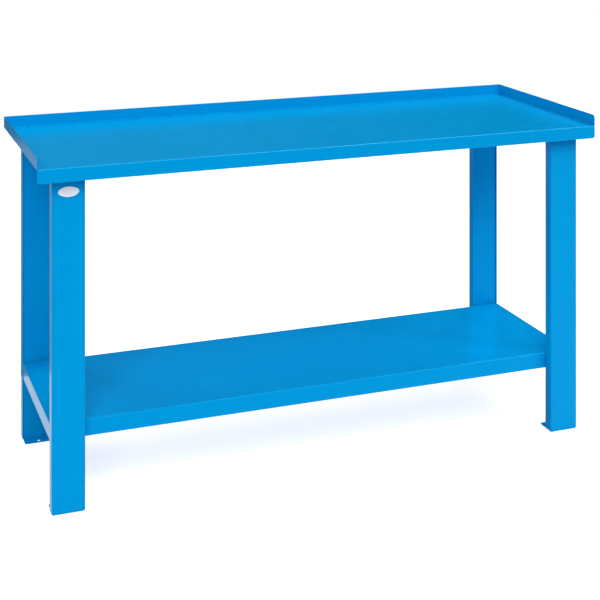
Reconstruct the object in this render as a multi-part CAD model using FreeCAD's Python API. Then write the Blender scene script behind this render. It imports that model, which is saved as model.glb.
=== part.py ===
"""Assembly table: a folded sheet-steel workbench with a lipped worktop, four channel legs and a tray shelf.

Millimetres, +Z up. The origin is on the floor, under the middle of the worktop. X runs along the bench and
the front of the bench, where the apron is, faces -Y. Every folded piece is drawn by the middle of its sheet.
"""
import FreeCAD
import Part

import math
import os

# --- sheet ---------------------------------------------------------------------------------------------
SHEET = 2.0                    # thickness of every folded piece
BEND_INSIDE = 1.0              # inside radius of every bend

# --- worktop -------------------------------------------------------------------------------------------
TOP_LENGTH = 1500.0
TOP_DEPTH = 530.0
TOTAL_HEIGHT = 850.0           # floor to the top of the lips
LIP_HEIGHT = 29.0              # lips at the back and both ends, above the work surface
APRON_HEIGHT = 33.0            # front apron, down from the work surface
LIP_END_RADIUS = 8.0           # rounded front corner of each end lip
APRON_CORNER_RADIUS = 6.0      # rounded lower corners of the apron

# --- hat channels that the legs bolt to, across the bench under each end --------------------------------
CHANNEL_DEPTH = 28.0
CHANNEL_WIDTH = 68.0           # over the walls
CHANNEL_FLANGE = 14.0
CHANNEL_FRONT_GAP = 8.0        # to the inside of the apron
CHANNEL_REAR_GAP = 12.0        # to the back edge of the worktop

# --- hat ribs along the bench, under the worktop and under the shelf ------------------------------------
TOP_RIB_DEPTH = 24.0
TOP_RIB_WIDTH = 50.0
TOP_RIB_SPACING = 190.0        # between the two centre lines
TOP_RIB_END_GAP = 4.0          # to the flange of the end channel
SHELF_RIB_DEPTH = 20.0
SHELF_RIB_WIDTH = 40.0
SHELF_RIB_SPACING = 170.0
SHELF_RIB_END_GAP = 6.0        # to the inside of the shelf's end flange
RIB_FLANGE = 14.0

# --- legs ----------------------------------------------------------------------------------------------
LEG_WIDTH = 80.0
LEG_FLANGE = 28.0              # over the face and the side flange
LEG_END_SETBACK = 40.0         # from the end of the worktop to the leg
LEG_FRONT_SETBACK = 30.5       # from the apron to the face of the front legs
LEG_REAR_SETBACK = 28.5        # from the back lip to the face of the rear legs
PLATE_DEPTH = 60.0             # foot plate and head plate, over the leg's face
PLATE_SIDE_GAP = 0.5           # between a plate and the side flanges
PLATE_CORNER_CLIP = 4.0
FOOT_HOLE_DIAMETER = 9.0       # floor fixing
FOOT_HOLE_FROM_FACE = 49.5

# --- shelf ---------------------------------------------------------------------------------------------
SHELF_HEIGHT = 203.0           # floor to the top of the shelf
SHELF_SKIRT = 40.0             # down-turned flange on all four sides
SHELF_GAP = 4.0                # from the skirt to the edges of the leg flanges
EAR_LENGTH = 24.0              # end flange carried on into the leg, beyond the skirt
EAR_DROP = 5.0                 # top of the ear below the top of the shelf
EAR_CORNER_CLIP = 5.0

# --- bolted joints at the head plates --------------------------------------------------------------------
BOLT_DIAMETER = 8.0
BOLT_LENGTH = 16.0
BOLT_HEAD_ACROSS = 13.0
BOLT_HEAD_HEIGHT = 5.3
BOLT_SPACING = 40.0            # between the two bolts of a leg
BOLT_FROM_FACE = 40.0
WELD_NUT_ACROSS = 13.0
WELD_NUT_HEIGHT = 6.5
BOLT_HOLE_DIAMETER = 9.0

# --- studded joints at the shelf ears --------------------------------------------------------------------
STUD_DIAMETER = 8.0
STUD_LENGTH = 16.0
STUD_FROM_SKIRT = 14.0
STUD_FROM_EAR_FOOT = 17.5
STUD_HOLE_DIAMETER = 9.0
STUD_WASHER_DIAMETER = 16.0
STUD_WASHER_THICKNESS = 1.6
STUD_NUT_ACROSS = 13.0
STUD_NUT_HEIGHT = 6.5

BORE_CLEARANCE = 0.1           # on the diameter of a nut or washer over its shank

# --- bare oval badge on the front left leg ---------------------------------------------------------------
BADGE_LENGTH = 50.0
BADGE_HEIGHT = 25.0
BADGE_THICKNESS = 1.5
BADGE_END_RADIUS = 7.0
BADGE_EDGE_BEVEL = 0.5
BADGE_BELOW_HEAD = 33.0         # centre of the badge below the top of the leg

# --- places worked out from the sizes above --------------------------------------------------------------
BEND_OUTSIDE = BEND_INSIDE + SHEET
BEND_MIDDLE = BEND_INSIDE + SHEET / 2
HALF_SHEET = SHEET / 2
HALF_LENGTH = TOP_LENGTH / 2
FRONT = -TOP_DEPTH / 2
BACK = TOP_DEPTH / 2
SURFACE = TOTAL_HEIGHT - LIP_HEIGHT
UNDERSIDE = SURFACE - SHEET
LEG_HEIGHT = UNDERSIDE - CHANNEL_DEPTH
LEG_FRONT = FRONT + LEG_FRONT_SETBACK
LEG_BACK = BACK - LEG_REAR_SETBACK
LEG_OUTSIDE = HALF_LENGTH - LEG_END_SETBACK
LEG_CENTRE = LEG_OUTSIDE - LEG_WIDTH / 2
SHELF_END = LEG_OUTSIDE - SHEET
SHELF_FRONT = LEG_FRONT + LEG_FLANGE + SHELF_GAP
SHELF_BACK = LEG_BACK - LEG_FLANGE - SHELF_GAP
SHELF_FOOT = SHELF_HEIGHT - SHELF_SKIRT
STUD_HEIGHT = SHELF_FOOT + STUD_FROM_EAR_FOOT
EPS = 1e-6


def along_x(x):
    """Plane for a section drawn as (y, z) and swept along X from x."""
    return lambda u, v: FreeCAD.Vector(x, u, v)


def along_y(y):
    """Plane for a section drawn as (x, z) and swept along Y from y."""
    return lambda u, v: FreeCAD.Vector(u, y, v)


def along_z(z):
    """Plane for a section drawn as (x, y) and swept along Z from z."""
    return lambda u, v: FreeCAD.Vector(u, v, z)


def bend(corner, before, after):
    """Tangent points, centre and middle direction of the bend at one corner of a folded line."""
    into = ((corner[0] - before[0]), (corner[1] - before[1]))
    out = ((after[0] - corner[0]), (after[1] - corner[1]))
    into_length = math.hypot(*into)
    out_length = math.hypot(*out)
    into = (into[0] / into_length, into[1] / into_length)
    out = (out[0] / out_length, out[1] / out_length)
    turn = math.atan2(into[0] * out[1] - into[1] * out[0], into[0] * out[0] + into[1] * out[1])
    side = math.copysign(1.0, turn)
    setback = BEND_MIDDLE * math.tan(abs(turn) / 2)
    start = (corner[0] - into[0] * setback, corner[1] - into[1] * setback)
    end = (corner[0] + out[0] * setback, corner[1] + out[1] * setback)
    centre = (start[0] - into[1] * side * BEND_MIDDLE, start[1] + into[0] * side * BEND_MIDDLE)
    reach = math.hypot(corner[0] - centre[0], corner[1] - centre[1])
    middle = ((corner[0] - centre[0]) / reach, (corner[1] - centre[1]) / reach)
    return {"start": start, "end": end, "centre": centre, "middle": middle, "side": side,
            "into": into, "out": out}


def skin(line, bends, offset):
    """One skin of the sheet, offset to the left of its middle line, as a list of 2D lines and arcs."""
    first = bends[0]["into"]
    last = bends[-1]["out"]
    here = (line[0][0] - first[1] * offset, line[0][1] + first[0] * offset)
    pieces = []
    for item in bends:
        radius = BEND_MIDDLE - item["side"] * offset
        into, out, centre, middle = item["into"], item["out"], item["centre"], item["middle"]
        start = (item["start"][0] - into[1] * offset, item["start"][1] + into[0] * offset)
        end = (item["end"][0] - out[1] * offset, item["end"][1] + out[0] * offset)
        crown = (centre[0] + middle[0] * radius, centre[1] + middle[1] * radius)
        if math.dist(here, start) > EPS:
            pieces.append((here, start))
        pieces.append((start, crown, end))
        here = end
    finish = (line[-1][0] - last[1] * offset, line[-1][1] + last[0] * offset)
    if math.dist(here, finish) > EPS:
        pieces.append((here, finish))
    return pieces


def folded(line, plane, sweep):
    """A strip of sheet: the section follows the middle line with a bend at each corner, swept straight."""
    bends = [bend(line[i], line[i - 1], line[i + 1]) for i in range(1, len(line) - 1)]
    left = skin(line, bends, HALF_SHEET)
    right = [tuple(reversed(piece)) for piece in reversed(skin(line, bends, -HALF_SHEET))]
    outline = left + [(left[-1][-1], right[0][0])] + right + [(right[-1][-1], left[0][0])]
    edges = []
    for piece in outline:
        points = [plane(*point) for point in piece]
        curve = Part.Arc(*points) if len(points) == 3 else Part.LineSegment(*points)
        edges.append(curve.toShape())
    return Part.Face(Part.Wire(edges)).extrude(sweep)


def block(low, high):
    """A box between two opposite corners."""
    size = [b - a for a, b in zip(low, high)]
    return Part.makeBox(*size, FreeCAD.Vector(*low))


def drill(shape, point, axis, diameter):
    """Cut a round hole through one sheet whose middle is at the point."""
    centre = FreeCAD.Vector(*point)
    axis = FreeCAD.Vector(*axis)
    return shape.cut(Part.makeCylinder(diameter / 2, 2 * SHEET, centre - axis * SHEET, axis))


def edges_where(shape, test):
    """Edges whose bounding box passes a test."""
    return [edge for edge in shape.Edges if test(edge.BoundBox)]


def near(value, target):
    return abs(value - target) < EPS * 1e3


def upright_at(box, x, y):
    """True for the box of an edge that stands on end at x, y."""
    flat = near(box.XLength, 0) and near(box.YLength, 0)
    return flat and near(box.XMin, x) and near(box.YMin, y)


# --- worktop -------------------------------------------------------------------------------------------
def tray_blank(side_in, foot, radius):
    """Solid block of the tray, drawn in by side_in on the back and ends, with its lower edges rounded."""
    end = HALF_LENGTH - side_in
    back = BACK - side_in
    front = FRONT + BEND_OUTSIDE
    blank = block((-end, front, foot), (end, back, TOTAL_HEIGHT))

    def lower_rim(box):
        return near(box.ZMin, foot) and near(box.ZMax, foot) and not near(box.YMax, front)
    return blank.makeFillet(radius, edges_where(blank, lower_rim))


def worktop():
    """Tray with lips at the back and both ends, and an apron folded down along the open front."""
    tray = tray_blank(0, UNDERSIDE, BEND_OUTSIDE).cut(tray_blank(SHEET, SURFACE, BEND_INSIDE))

    def lip_front_corner(box):
        return near(box.ZMin, TOTAL_HEIGHT) and near(box.XLength, SHEET) and box.YMax < 0
    tray = tray.makeFillet(LIP_END_RADIUS, edges_where(tray, lip_front_corner))
    reach = HALF_LENGTH - SHEET
    line = [(FRONT + BEND_OUTSIDE, SURFACE - HALF_SHEET), (FRONT + HALF_SHEET, SURFACE - HALF_SHEET),
            (FRONT + HALF_SHEET, SURFACE - APRON_HEIGHT)]
    apron = folded(line, along_x(-reach), FreeCAD.Vector(2 * reach, 0, 0))

    def lower_corner(box):
        return near(box.YLength, SHEET) and near(box.ZMax, SURFACE - APRON_HEIGHT)
    apron = apron.makeFillet(APRON_CORNER_RADIUS, edges_where(apron, lower_corner))
    return tray.fuse(apron).removeSplitter()


# --- hat sections --------------------------------------------------------------------------------------
def hat_line(centre, foot, width, depth, flange):
    """Middle line of a hat section that hangs with its web down, as (across, up) points."""
    wall = width / 2 - HALF_SHEET
    rim = width / 2 + flange
    top = foot + depth - HALF_SHEET
    web = foot + HALF_SHEET
    return [(centre - rim, top), (centre - wall, top), (centre - wall, web),
            (centre + wall, web), (centre + wall, top), (centre + rim, top)]


def end_channel(side):
    """Hat channel across the bench, over the head plates of a front and a rear leg."""
    centre = side * LEG_CENTRE
    front = FRONT + SHEET + CHANNEL_FRONT_GAP
    back = BACK - CHANNEL_REAR_GAP
    line = hat_line(centre, LEG_HEIGHT, CHANNEL_WIDTH, CHANNEL_DEPTH, CHANNEL_FLANGE)
    channel = folded(line, along_y(front), FreeCAD.Vector(0, back - front, 0))
    for x, y in bolt_places():
        if x * side > 0:
            channel = drill(channel, (x, y, LEG_HEIGHT + HALF_SHEET), (0, 0, 1), BOLT_HOLE_DIAMETER)
    return channel


def long_rib(y, top, width, depth, reach):
    """Hat rib along the bench, welded by its flanges under a flat sheet."""
    line = hat_line(y, top - depth, width, depth, RIB_FLANGE)
    return folded(line, along_x(-reach), FreeCAD.Vector(2 * reach, 0, 0))


def top_rib(side):
    reach = LEG_CENTRE - CHANNEL_WIDTH / 2 - CHANNEL_FLANGE - TOP_RIB_END_GAP
    return long_rib(side * TOP_RIB_SPACING / 2, UNDERSIDE, TOP_RIB_WIDTH, TOP_RIB_DEPTH, reach)


def shelf_rib(side):
    reach = SHELF_END - SHEET - SHELF_RIB_END_GAP
    middle = (SHELF_FRONT + SHELF_BACK) / 2
    y = middle + side * SHELF_RIB_SPACING / 2
    return long_rib(y, SHELF_HEIGHT - SHEET, SHELF_RIB_WIDTH, SHELF_RIB_DEPTH, reach)


# --- legs ----------------------------------------------------------------------------------------------
def leg_plate():
    """Lower end of the leg's face, bent inwards as the foot plate."""
    half = LEG_WIDTH / 2 - SHEET - PLATE_SIDE_GAP
    line = [(HALF_SHEET, BEND_OUTSIDE), (HALF_SHEET, HALF_SHEET), (PLATE_DEPTH, HALF_SHEET)]
    plate = folded(line, along_x(-half), FreeCAD.Vector(2 * half, 0, 0))

    def free_corner(box):
        return upright_at(box, -half, PLATE_DEPTH) or upright_at(box, half, PLATE_DEPTH)
    return plate.makeChamfer(PLATE_CORNER_CLIP, edges_where(plate, free_corner))


def leg_blank():
    """One leg on the floor with the outside of its face at y = 0 and its open side towards +Y."""
    wall = LEG_WIDTH / 2 - HALF_SHEET
    line = [(-wall, LEG_FLANGE), (-wall, HALF_SHEET), (wall, HALF_SHEET), (wall, LEG_FLANGE)]
    height = LEG_HEIGHT - 2 * BEND_OUTSIDE
    channel = folded(line, along_z(BEND_OUTSIDE), FreeCAD.Vector(0, 0, height))
    foot = drill(leg_plate(), (0, FOOT_HOLE_FROM_FACE, HALF_SHEET), (0, 0, 1), FOOT_HOLE_DIAMETER)
    head = leg_plate()
    for x in (-BOLT_SPACING / 2, BOLT_SPACING / 2):
        head = drill(head, (x, BOLT_FROM_FACE, HALF_SHEET), (0, 0, 1), BOLT_HOLE_DIAMETER)
    mid_height = FreeCAD.Vector(0, 0, LEG_HEIGHT / 2)
    head = head.mirror(mid_height, FreeCAD.Vector(0, 0, 1))
    return channel.fuse([foot, head]).removeSplitter()


def leg(side, front):
    """A leg in its place: side is -1 on the left and 1 on the right."""
    piece = leg_blank()
    if front:
        piece.translate(FreeCAD.Vector(side * LEG_CENTRE, LEG_FRONT, 0))
        return piece
    piece.rotate(FreeCAD.Vector(0, 0, 0), FreeCAD.Vector(0, 0, 1), 180)
    piece.translate(FreeCAD.Vector(side * LEG_CENTRE, LEG_BACK, 0))
    return piece


# --- shelf ---------------------------------------------------------------------------------------------
def shelf_blank(inset, top, radius):
    """Solid block of the shelf, drawn in by inset on every side, with its upper edges rounded."""
    low = (-SHELF_END + inset, SHELF_FRONT + inset, SHELF_FOOT)
    high = (SHELF_END - inset, SHELF_BACK - inset, top)
    blank = block(low, high)
    return blank.makeFillet(radius, edges_where(blank, lambda box: near(box.ZMin, top)))


def ear(side, front):
    """The end flange carried on into a leg, with clipped corners and a hole for the stud."""
    outer = side * SHELF_END
    inner = side * (SHELF_END - SHEET)
    skirt = SHELF_FRONT if front else SHELF_BACK
    away = -1 if front else 1
    tip = skirt + away * EAR_LENGTH
    root = skirt - away * SHEET
    low = (min(outer, inner), min(tip, root), SHELF_FOOT)
    high = (max(outer, inner), max(tip, root), SHELF_HEIGHT - EAR_DROP)
    plate = block(low, high)

    def tip_corner(box):
        return near(box.XLength, SHEET) and near(box.YMin, tip)
    plate = plate.makeChamfer(EAR_CORNER_CLIP, edges_where(plate, tip_corner))
    hole = (side * (SHELF_END - HALF_SHEET), skirt + away * STUD_FROM_SKIRT, STUD_HEIGHT)
    return drill(plate, hole, (1, 0, 0), STUD_HOLE_DIAMETER)


def shelf():
    """Tray turned upside down, with an ear at each corner that reaches inside a leg."""
    tray = shelf_blank(0, SHELF_HEIGHT, BEND_OUTSIDE)
    tray = tray.cut(shelf_blank(SHEET, SHELF_HEIGHT - SHEET, BEND_INSIDE))
    ears = [ear(side, front) for side in (-1, 1) for front in (True, False)]
    return tray.fuse(ears).removeSplitter()


# --- fasteners -----------------------------------------------------------------------------------------
def bolt_places():
    """Centres of the bolts through the head plates, as (x, y)."""
    rows = (LEG_FRONT + BOLT_FROM_FACE, LEG_BACK - BOLT_FROM_FACE)
    return [(side * LEG_CENTRE + step * BOLT_SPACING / 2, y)
            for side in (-1, 1) for step in (-1, 1) for y in rows]


def stud_places():
    """Roots of the studs on the inside of the legs' outer flanges, as (x, y, z)."""
    rows = (SHELF_FRONT - STUD_FROM_SKIRT, SHELF_BACK + STUD_FROM_SKIRT)
    return [(side * SHELF_END, y, STUD_HEIGHT) for side in (-1, 1) for y in rows]


def hexagon(point, axis, across, height):
    """Hexagonal prism that stands on the point along the axis."""
    axis = FreeCAD.Vector(*axis)
    across_vector = FreeCAD.Vector(0, 1, 0)
    centre = FreeCAD.Vector(*point)
    reach = across / math.sqrt(3)
    corners = []
    for i in range(7):
        turn = FreeCAD.Rotation(axis, 60 * i)
        corners.append(centre + turn.multVec(across_vector) * reach)
    return Part.Face(Part.makePolygon(corners)).extrude(axis * height)


def ring(point, axis, outside, inside, thickness):
    """Flat ring that stands on the point along the axis."""
    centre = FreeCAD.Vector(*point)
    axis = FreeCAD.Vector(*axis)
    disc = Part.makeCylinder(outside / 2, thickness, centre, axis)
    return disc.cut(Part.makeCylinder(inside / 2, thickness, centre, axis))


def nut(point, axis, across, height, shank):
    bore = Part.makeCylinder((shank + BORE_CLEARANCE) / 2, height, FreeCAD.Vector(*point), FreeCAD.Vector(*axis))
    return hexagon(point, axis, across, height).cut(bore)


def head_bolts():
    """Hexagon bolts put in from below, with their heads against the head plates."""
    seat = LEG_HEIGHT - SHEET
    solids = []
    for x, y in bolt_places():
        head = hexagon((x, y, seat), (0, 0, -1), BOLT_HEAD_ACROSS, BOLT_HEAD_HEIGHT)
        shank = Part.makeCylinder(BOLT_DIAMETER / 2, BOLT_LENGTH, FreeCAD.Vector(x, y, seat))
        solids.append(head.fuse(shank).removeSplitter())
    return solids


def weld_nuts():
    """Nuts welded on the inside of the end channels' webs."""
    seat = LEG_HEIGHT + SHEET
    return [nut((x, y, seat), (0, 0, 1), WELD_NUT_ACROSS, WELD_NUT_HEIGHT, BOLT_DIAMETER)
            for x, y in bolt_places()]


def inwards(x):
    """Direction along X from an end of the bench towards its middle."""
    return (-math.copysign(1.0, x), 0, 0)


def step_in(place, distance):
    """A place moved inwards along X by a distance."""
    x, y, z = place
    return (x - math.copysign(distance, x), y, z)


def shelf_studs():
    return [Part.makeCylinder(STUD_DIAMETER / 2, STUD_LENGTH, FreeCAD.Vector(*place),
                              FreeCAD.Vector(*inwards(place[0]))) for place in stud_places()]


def shelf_washers():
    bore = STUD_DIAMETER + BORE_CLEARANCE
    return [ring(step_in(place, SHEET), inwards(place[0]), STUD_WASHER_DIAMETER, bore, STUD_WASHER_THICKNESS)
            for place in stud_places()]


def shelf_nuts():
    seat = SHEET + STUD_WASHER_THICKNESS
    return [nut(step_in(place, seat), inwards(place[0]), STUD_NUT_ACROSS, STUD_NUT_HEIGHT, STUD_DIAMETER)
            for place in stud_places()]


# --- badge ---------------------------------------------------------------------------------------------
def oval(centre):
    """Upright oval wire of four tangent arcs about a centre: two tight ends, two wide sides."""
    long_half = BADGE_LENGTH / 2
    short_half = BADGE_HEIGHT / 2
    reach = long_half - BADGE_END_RADIUS
    wide = (reach ** 2 + short_half ** 2 - BADGE_END_RADIUS ** 2) / (2 * (short_half - BADGE_END_RADIUS))
    turn = math.atan2(wide - short_half, reach)
    joint_x = reach + BADGE_END_RADIUS * math.cos(turn)
    joint_z = BADGE_END_RADIUS * math.sin(turn)
    stops = [(joint_x, -joint_z), (long_half, 0), (joint_x, joint_z), (0, short_half), (-joint_x, joint_z),
             (-long_half, 0), (-joint_x, -joint_z), (0, -short_half), (joint_x, -joint_z)]
    points = [centre + FreeCAD.Vector(x, 0, z) for x, z in stops]
    return Part.Wire([Part.Arc(*points[i:i + 3]).toShape() for i in (0, 2, 4, 6)])


def oval_badge():
    """Bare oval plate on the face of the front left leg, with a softened rim."""
    centre = FreeCAD.Vector(-LEG_CENTRE, LEG_FRONT, LEG_HEIGHT - BADGE_BELOW_HEAD)
    plate = Part.Face(oval(centre)).extrude(FreeCAD.Vector(0, -BADGE_THICKNESS, 0))
    face = LEG_FRONT - BADGE_THICKNESS
    rim = edges_where(plate, lambda box: near(box.YMin, face) and near(box.YMax, face))
    return plate.makeChamfer(BADGE_EDGE_BEVEL, rim)


def sub_parts():
    """Every node of the bench, by name."""
    return {
        "worktop": worktop(),
        "left_end_channel": end_channel(-1),
        "right_end_channel": end_channel(1),
        "front_top_rib": top_rib(-1),
        "rear_top_rib": top_rib(1),
        "front_left_leg": leg(-1, True),
        "front_right_leg": leg(1, True),
        "rear_left_leg": leg(-1, False),
        "rear_right_leg": leg(1, False),
        "shelf": shelf(),
        "front_shelf_rib": shelf_rib(-1),
        "rear_shelf_rib": shelf_rib(1),
        "oval_badge": oval_badge(),
        "head_bolts": Part.makeCompound(head_bolts()),
        "head_weld_nuts": Part.makeCompound(weld_nuts()),
        "shelf_studs": Part.makeCompound(shelf_studs()),
        "shelf_washers": Part.makeCompound(shelf_washers()),
        "shelf_nuts": Part.makeCompound(shelf_nuts()),
    }


def write_parts():
    os.makedirs("parts", exist_ok=True)
    for node, shape in sub_parts().items():
        shape.exportStep("parts/%s.step" % node)
        box = shape.BoundBox
        print("%-20s solids %2d  volume %9.0f mm3  z %7.2f to %7.2f  %s"
              % (node, len(shape.Solids), shape.Volume, box.ZMin, box.ZMax, shape.isValid()))


write_parts()
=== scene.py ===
"""Assembly table: the finished look of a blue folded-steel workbench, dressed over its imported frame.

Blender works in metres, +Z up, with the origin on the floor under the middle of the worktop. The front
of the bench faces -Y. Every piece keeps its place in its mesh, and its object stays at the origin.
"""
import math

import bmesh
import bpy
from bpy.props import FloatProperty, FloatVectorProperty, IntProperty, PointerProperty
from mathutils import Matrix, Vector


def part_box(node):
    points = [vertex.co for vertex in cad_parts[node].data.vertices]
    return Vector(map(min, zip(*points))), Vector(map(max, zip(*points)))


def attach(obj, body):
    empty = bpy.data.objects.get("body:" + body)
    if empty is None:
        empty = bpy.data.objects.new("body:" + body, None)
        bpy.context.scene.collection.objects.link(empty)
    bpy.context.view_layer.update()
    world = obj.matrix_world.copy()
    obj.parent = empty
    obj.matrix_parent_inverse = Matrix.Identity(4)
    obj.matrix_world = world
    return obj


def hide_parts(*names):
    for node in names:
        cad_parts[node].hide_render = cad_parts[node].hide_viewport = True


bl_info = {
    "name": "Assembly Table",
    "version": (1, 0, 0),
    "blender": (4, 5, 0),
    "location": "View3D > Sidebar > Bench",
    "description": "Builds the pieces and finishes of a folded-steel assembly table",
    "category": "Object",
}

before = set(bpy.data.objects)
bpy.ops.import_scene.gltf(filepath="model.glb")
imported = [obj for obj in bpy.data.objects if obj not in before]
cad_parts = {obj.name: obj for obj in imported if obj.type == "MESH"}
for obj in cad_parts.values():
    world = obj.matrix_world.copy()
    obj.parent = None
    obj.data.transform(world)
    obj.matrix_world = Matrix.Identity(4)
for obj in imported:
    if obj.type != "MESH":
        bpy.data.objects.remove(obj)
MM = 0.001
ROOT = "root"
FRAME_GAP = 0.002 * MM         # corners of a frame mesh that lie closer than this are one
BUILT_GAP = 0.001 * MM         # the same for a mesh that is built here
PLATE_GAP = 0.5 * MM           # between an inner plate and the sides of its leg
NOTCH_WIDTH = 24 * MM          # of the notch in an inner plate, which clears the nut on a shelf ear
NOTCH_DROP = 12 * MM           # from the top of the shelf down to the top of the notch
NOTCH_ROOM = 4 * MM            # from the foot of the shelf down to the foot of the notch
SLOT_DROP = 4 * MM             # from the top of the shelf down to the top of the ear's slot
WELD_ROW = 0.46                # from the edge of a rib's flange to its welds, as a share of the flange
THREAD_SHARE = 0.61            # depth of a thread, as a share of its pitch
THREAD_RINGS = 4               # rings that draw one turn of a thread
CHAMFER_STEPS = 6              # facets across the end chamfer of a hexagon
DOME_STEPS = 9                 # facets from the rim of the badge to its middle
EDGE_HIGHLIGHT_RED = 0.03                # red of the painted highlight over a cut edge
EDGE_HIGHLIGHT_GAINS = (1.16, 1.08)      # how much greener and bluer that painted highlight is than the rest of the coat

SHEET_NODES = {
    "worktop": ["worktop"],
    "legs": ["front_left_leg", "front_right_leg", "rear_left_leg", "rear_right_leg"],
    "shelf": ["shelf"],
    "end_channels": ["left_end_channel", "right_end_channel"],
}
RIB_NODES = ["front_top_rib", "rear_top_rib", "front_shelf_rib", "rear_shelf_rib"]


# --- sizes and colours ---------------------------------------------------------------------------------
class SheetSettings(bpy.types.PropertyGroup):
    """The folded sheet."""

    thickness: FloatProperty(
        name="Sheet thickness", description="Thickness of the folded sheet", default=2 * MM, min=0.5 * MM,
        unit="LENGTH")
    bend_radius: FloatProperty(
        name="Bend radius", description="Radius of each bend at the middle of the sheet", default=2 * MM,
        min=0.5 * MM, unit="LENGTH")
    bend_steps: IntProperty(
        name="Bend steps", description="Facets round one bend", default=10, min=2, max=32)
    edge_radius: FloatProperty(
        name="Edge softness", description="How far the coat rounds a cut edge", default=0.4 * MM,
        min=0.05 * MM, unit="LENGTH")
    inner_plate_depth: FloatProperty(
        name="Inner plate depth", description="From the face of a leg to the plate that closes its channel",
        default=24 * MM, min=8 * MM, unit="LENGTH")
    rib_flange: FloatProperty(
        name="Rib flange", description="Width of each welded flange of a hat rib", default=14 * MM,
        min=4 * MM, unit="LENGTH")
    weld_spacing: FloatProperty(
        name="Weld spacing", description="Distance between two spot welds on a rib flange", default=95 * MM,
        min=10 * MM, unit="LENGTH")
    weld_diameter: FloatProperty(
        name="Weld diameter", description="Diameter of the mark that a spot weld leaves", default=6 * MM,
        min=1 * MM, unit="LENGTH")


class FastenerSettings(bpy.types.PropertyGroup):
    """Bolts, studs, nuts and washers."""

    across_flats: FloatProperty(
        name="Across flats", description="Size of each hexagon over its flats", default=13 * MM, min=2 * MM,
        unit="LENGTH")
    head_height: FloatProperty(
        name="Head height", description="Height of a bolt's hexagon head", default=5.3 * MM, min=1 * MM,
        unit="LENGTH")
    thread_diameter: FloatProperty(
        name="Thread diameter", description="Outside diameter of the thread", default=8 * MM, min=1 * MM,
        unit="LENGTH")
    thread_pitch: FloatProperty(
        name="Thread pitch", description="Distance between two crests of the thread", default=1.25 * MM,
        min=0.2 * MM, unit="LENGTH")
    sides: IntProperty(
        name="Facets", description="Facets round each turned part, a multiple of six", default=36, min=12,
        max=96, step=6)
    seed: IntProperty(
        name="Seed", description="Fixes how far each fastener is turned", default=7, min=0)


class BadgeSettings(bpy.types.PropertyGroup):
    """The bare oval plate."""

    rim_width: FloatProperty(
        name="Rim width", description="Width of the raised rim", default=1.3 * MM, min=0.2 * MM,
        unit="LENGTH")
    rim_rise: FloatProperty(
        name="Rim rise", description="Height of the rim above the field inside it", default=0.35 * MM,
        min=0.0, unit="LENGTH")
    dome: FloatProperty(
        name="Dome", description="How far the middle of the field swells", default=0.3 * MM, min=0.0,
        unit="LENGTH")
    end_radius: FloatProperty(
        name="End radius", description="Radius of the oval's two ends", default=7 * MM, min=1 * MM,
        unit="LENGTH")
    colour: FloatVectorProperty(
        name="Badge colour", description="Colour of the bare plate", default=(0.93, 0.96, 1.0), size=3,
        min=0.0, max=1.0, subtype="COLOR")


class CoatSettings(bpy.types.PropertyGroup):
    """The powder coat and the zinc."""

    colour: FloatVectorProperty(
        name="Coat colour", description="Colour of the powder coat", default=(0.0, 0.35, 0.75), size=3,
        min=0.0, max=1.0, subtype="COLOR")
    roughness: FloatProperty(
        name="Coat roughness", description="Lowest roughness of the powder coat", default=0.13, min=0.0,
        max=1.0, subtype="FACTOR")
    peel_height: FloatProperty(
        name="Orange peel height", description="Height of the coat's fine ripples", default=0.012 * MM,
        min=0.0, unit="LENGTH")
    peel_size: FloatProperty(
        name="Orange peel size", description="Width of the coat's fine ripples", default=1.6 * MM,
        min=0.1 * MM, unit="LENGTH")
    zinc_colour: FloatVectorProperty(
        name="Zinc colour", description="Colour of the zinc plate", default=(0.62, 0.64, 0.66), size=3,
        min=0.0, max=1.0, subtype="COLOR")


class StageSettings(bpy.types.PropertyGroup):
    """Light, floor and camera."""

    focal_length: FloatProperty(
        name="Focal length", description="Focal length of the camera", default=84.915, min=1.0,
        unit="CAMERA")
    floor_colour: FloatVectorProperty(
        name="Floor colour", description="Colour of the plain floor", default=(0.66, 0.67, 0.78), size=3,
        min=0.0, max=1.0, subtype="COLOR")


# --- finishing a piece ---------------------------------------------------------------------------------
def new_object(name, mesh):
    """Put a mesh into the scene as an object."""
    piece = bpy.data.objects.new(name, mesh)
    bpy.context.scene.collection.objects.link(piece)
    return piece


def finish_piece(piece, slot, material, *nodes):
    """Give a built piece its material and body, and hide the frame nodes that it stands for. Its slot is
    not used.
    """
    piece.data.materials.clear()
    piece.data.materials.append(material)
    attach(piece, ROOT)
    if nodes:
        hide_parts(*nodes)


def plain_mesh(piece):
    """Turn a piece and its modifiers into one plain mesh."""
    graph = bpy.context.evaluated_depsgraph_get()
    mesh = bpy.data.meshes.new_from_object(piece.evaluated_get(graph))
    piece.modifiers.clear()
    old = piece.data
    piece.data = mesh
    bpy.data.meshes.remove(old)
    return piece


def edit_shape(piece, change):
    """Change a piece's mesh as a loose shape."""
    shape = bmesh.new()
    shape.from_mesh(piece.data)
    change(shape)
    shape.to_mesh(piece.data)
    shape.free()


def shape_object(name, shape):
    """Put a loose shape into the scene as an object."""
    mesh = bpy.data.meshes.new(name)
    shape.to_mesh(mesh)
    shape.free()
    return new_object(name, mesh)


def weld_facets(shape):
    """Merge the corners of a frame mesh and rejoin its flat faces from their triangles."""
    bmesh.ops.remove_doubles(shape, verts=shape.verts, dist=FRAME_GAP)
    bmesh.ops.dissolve_limit(
        shape, angle_limit=math.radians(0.5), verts=shape.verts, edges=shape.edges)


def face_outwards(shape):
    """Merge the corners of a built mesh and turn its faces outwards."""
    bmesh.ops.remove_doubles(shape, verts=shape.verts, dist=BUILT_GAP)
    bmesh.ops.recalc_face_normals(shape, faces=shape.faces)


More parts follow.
